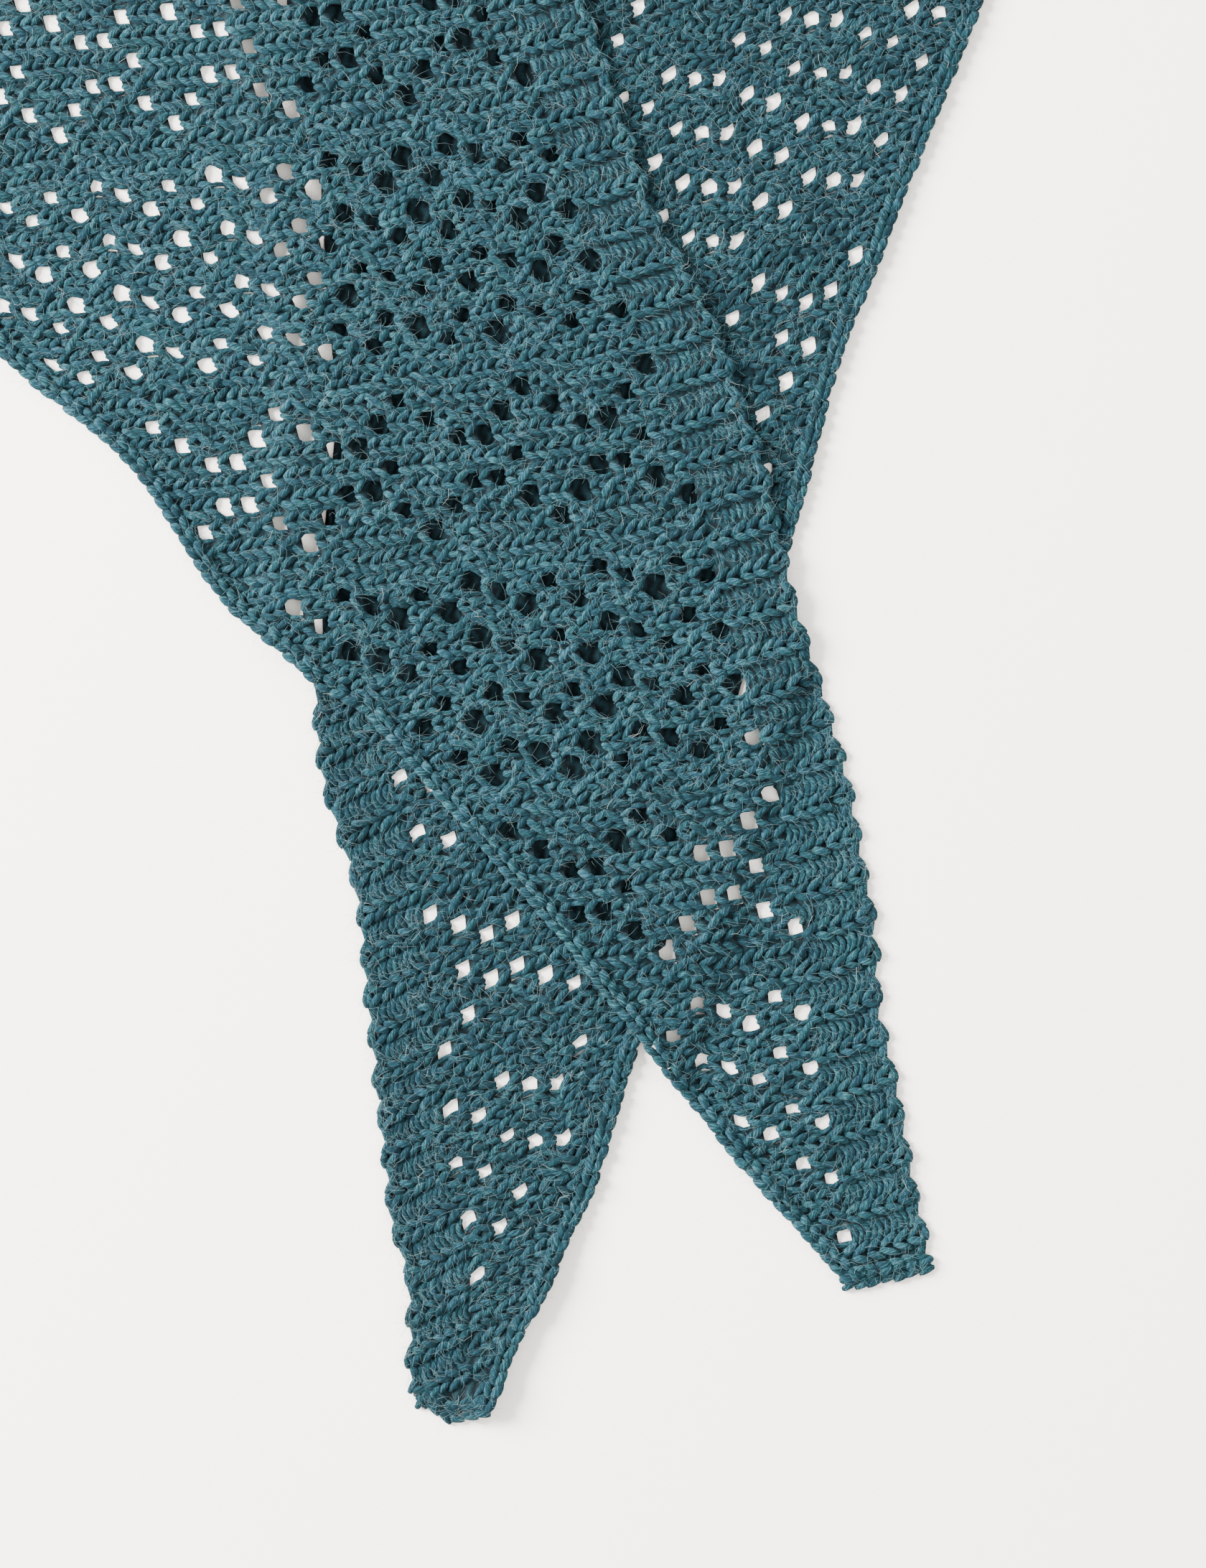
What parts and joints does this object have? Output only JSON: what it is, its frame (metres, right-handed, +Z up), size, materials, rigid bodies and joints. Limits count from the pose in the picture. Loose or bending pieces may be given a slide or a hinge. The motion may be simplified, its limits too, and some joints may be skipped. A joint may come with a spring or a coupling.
{
  "type": "triangle shawl",
  "caption": "Hand-knitted lace triangle shawl in heathered teal wool, laid flat with its two tails folded down and crossed.",
  "frame": {"origin": "centre of the laid shawl's bounding box, on the surface it lies on", "axes": "+X to the right as seen from above, +Y from the tips of the tails towards the middle of the neck, +Z up"},
  "size_m": [0.626, 0.995, 0.0097],
  "materials": {
    "wool": "matte hand-knitted wool, slightly fuzzy, heathered teal"
  },
  "bodies": {
    "root": {"back": "wool", "tail_under": "wool", "tail_over": "wool"}
  },
  "joints": []
}
